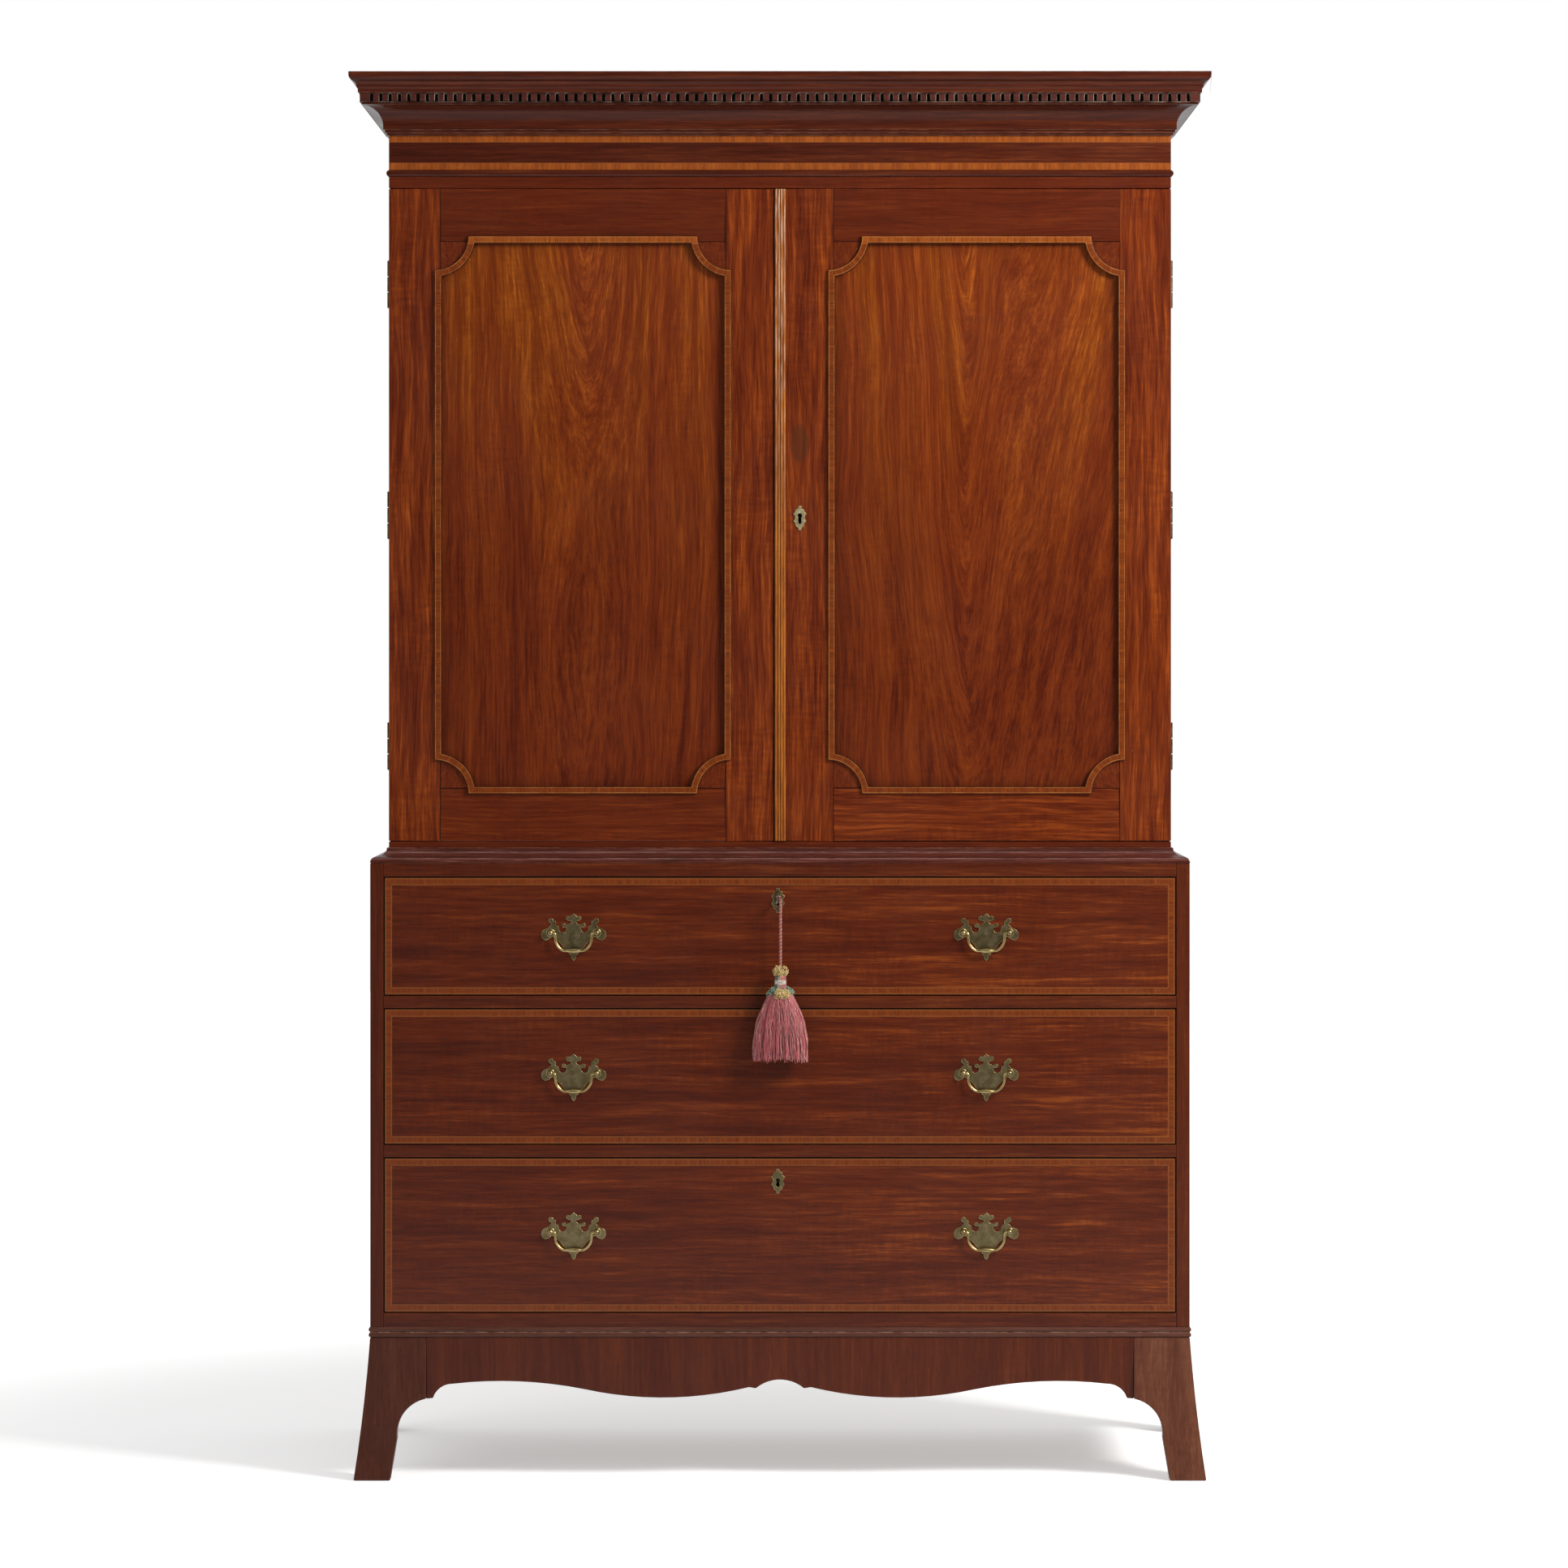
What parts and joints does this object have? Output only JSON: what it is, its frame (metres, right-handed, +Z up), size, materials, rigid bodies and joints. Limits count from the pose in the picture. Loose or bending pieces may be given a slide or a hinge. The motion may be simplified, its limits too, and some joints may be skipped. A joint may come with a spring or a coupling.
{
  "type": "linen press",
  "caption": "Tall mahogany linen press: panelled double doors with inward corners over drawers with bat-wing handles, dentil cornice, shaped apron and splayed bracket feet.",
  "frame": {"origin": "on the floor, under the middle of the press's width and of its depth", "axes": "+Z up; +X to the right as seen from the front; the doors and drawers face -Y"},
  "size_m": [1.272, 0.604, 2.078],
  "materials": {
    "mahogany": "french polished",
    "figured_mahogany": "french polished veneer",
    "oak": "bare, waxed",
    "pine": "bare",
    "brass": "aged",
    "iron": "dull steel",
    "silk_thread": "silk thread"
  },
  "bodies": {
    "press": {"base_sides": "mahogany", "base_boards": "pine", "drawer_rails": "mahogany", "drawer_runners": "oak", "base_back_boards": "pine", "waist_moulding": "mahogany", "base_moulding": "mahogany", "aprons": "mahogany", "front_feet": "mahogany", "rear_feet": "pine", "press_sides": "mahogany", "press_boards": "pine", "press_back_boards": "pine", "slide_runners": "oak", "cornice_frame": "mahogany", "cornice_bead": "mahogany", "cornice_moulding": "mahogany", "dentil_course": "mahogany", "linen_slide_1": "oak", "linen_slide_2": "oak", "linen_slide_3": "oak", "linen_slide_4": "oak", "carcase_hinge_leaves": "brass"},
    "left_door": {"left_door_frame": "mahogany", "left_door_panel": "figured_mahogany", "left_door_moulding": "mahogany", "left_door_hinge_leaves": "brass", "left_door_bolt_plates": "brass"},
    "left_door_top_bolt": {"left_door_top_bolt": "brass"},
    "left_door_bottom_bolt": {"left_door_bottom_bolt": "brass"},
    "right_door": {"right_door_frame": "mahogany", "right_door_panel": "figured_mahogany", "right_door_moulding": "mahogany", "right_door_hinge_leaves": "brass", "meeting_bead": "mahogany", "right_door_lock": "iron", "door_escutcheon": "brass"},
    "right_door_lock_bolt": {"right_door_lock_bolt": "iron"},
    "drawer_1": {"drawer_1_front": "figured_mahogany", "drawer_1_box": "oak", "drawer_1_brasses": "brass", "drawer_1_lock": "iron"},
    "drawer_2": {"drawer_2_front": "figured_mahogany", "drawer_2_box": "oak", "drawer_2_brasses": "brass"},
    "drawer_3": {"drawer_3_front": "figured_mahogany", "drawer_3_box": "oak", "drawer_3_brasses": "brass", "drawer_3_lock": "iron"},
    "drawer_1_lock_bolt": {"drawer_1_lock_bolt": "iron"},
    "drawer_3_lock_bolt": {"drawer_3_lock_bolt": "iron"},
    "key": {"key": "iron"},
    "hanging_tassel": {"tassel_cord": "silk_thread", "tassel": "silk_thread"},
    "drawer_1_left_bail": {"drawer_1_left_bail": "brass"},
    "drawer_1_right_bail": {"drawer_1_right_bail": "brass"},
    "drawer_2_left_bail": {"drawer_2_left_bail": "brass"},
    "drawer_2_right_bail": {"drawer_2_right_bail": "brass"},
    "drawer_3_left_bail": {"drawer_3_left_bail": "brass"},
    "drawer_3_right_bail": {"drawer_3_right_bail": "brass"}
  },
  "joints": [
    {"name": "left_door_hinge", "type": "hinge", "parent": "press", "child": "left_door", "pos_m": [-0.5804, -0.2165, 1.4255], "axis": [0, 0, -1], "range_deg": [0, 165]},
    {"name": "right_door_hinge", "type": "hinge", "parent": "press", "child": "right_door", "pos_m": [0.5804, -0.2165, 1.4255], "axis": [0, 0, 1], "range_deg": [0, 165]},
    {"name": "left_door_top_bolt_slide", "type": "slide", "parent": "left_door", "child": "left_door_top_bolt", "axis": [0, 0, 1], "range_m": [0, 0.013]},
    {"name": "left_door_bottom_bolt_slide", "type": "slide", "parent": "left_door", "child": "left_door_bottom_bolt", "axis": [0, 0, -1], "range_m": [0, 0.013]},
    {"name": "right_door_lock_bolt_slide", "type": "slide", "parent": "right_door", "child": "right_door_lock_bolt", "axis": [-1, 0, 0], "range_m": [0, 0.008]},
    {"name": "drawer_1_slide", "type": "slide", "parent": "press", "child": "drawer_1", "axis": [0, -1, 0], "range_m": [0, 0.4]},
    {"name": "drawer_1_left_bail_swing", "type": "hinge", "parent": "drawer_1", "child": "drawer_1_left_bail", "pos_m": [-0.305, -0.2741, 0.807], "axis": [-1, 0, 0], "range_deg": [0, 95]},
    {"name": "drawer_1_right_bail_swing", "type": "hinge", "parent": "drawer_1", "child": "drawer_1_right_bail", "pos_m": [0.305, -0.2741, 0.807], "axis": [-1, 0, 0], "range_deg": [0, 95]},
    {"name": "drawer_2_slide", "type": "slide", "parent": "press", "child": "drawer_2", "axis": [0, -1, 0], "range_m": [0, 0.4], "deforming": ["tassel", "tassel_cord"]},
    {"name": "drawer_2_left_bail_swing", "type": "hinge", "parent": "drawer_2", "child": "drawer_2_left_bail", "pos_m": [-0.305, -0.2741, 0.5995], "axis": [-1, 0, 0], "range_deg": [0, 95]},
    {"name": "drawer_2_right_bail_swing", "type": "hinge", "parent": "drawer_2", "child": "drawer_2_right_bail", "pos_m": [0.305, -0.2741, 0.5995], "axis": [-1, 0, 0], "range_deg": [0, 95]},
    {"name": "drawer_3_slide", "type": "slide", "parent": "press", "child": "drawer_3", "axis": [0, -1, 0], "range_m": [0, 0.4]},
    {"name": "drawer_3_left_bail_swing", "type": "hinge", "parent": "drawer_3", "child": "drawer_3_left_bail", "pos_m": [-0.305, -0.2741, 0.365], "axis": [-1, 0, 0], "range_deg": [0, 95]},
    {"name": "drawer_3_right_bail_swing", "type": "hinge", "parent": "drawer_3", "child": "drawer_3_right_bail", "pos_m": [0.305, -0.2741, 0.365], "axis": [-1, 0, 0], "range_deg": [0, 95]},
    {"name": "key_turn", "type": "hinge", "parent": "drawer_1", "child": "key", "pos_m": [-0.003, -0.265, 0.8563], "axis": [0, 1, 0], "range_deg": [0, 360]},
    {"name": "drawer_1_lock_bolt_slide", "type": "slide", "parent": "drawer_1", "child": "drawer_1_lock_bolt", "axis": [0, 0, 1], "range_m": [0, 0.008]},
    {"name": "drawer_3_lock_bolt_slide", "type": "slide", "parent": "drawer_3", "child": "drawer_3_lock_bolt", "axis": [0, 0, 1], "range_m": [0, 0.008]},
    {"name": "tassel_swing", "type": "hinge", "parent": "drawer_1", "child": "hanging_tassel", "pos_m": [0.0008, -0.28532, 0.8597], "axis": [-1, 0, 0], "range_deg": [0, 75]}
  ],
  "couplings": [
    {"joint": "key_turn", "follows": "drawer_1_lock_bolt_slide", "rad_per_m": 785.39}
  ]
}
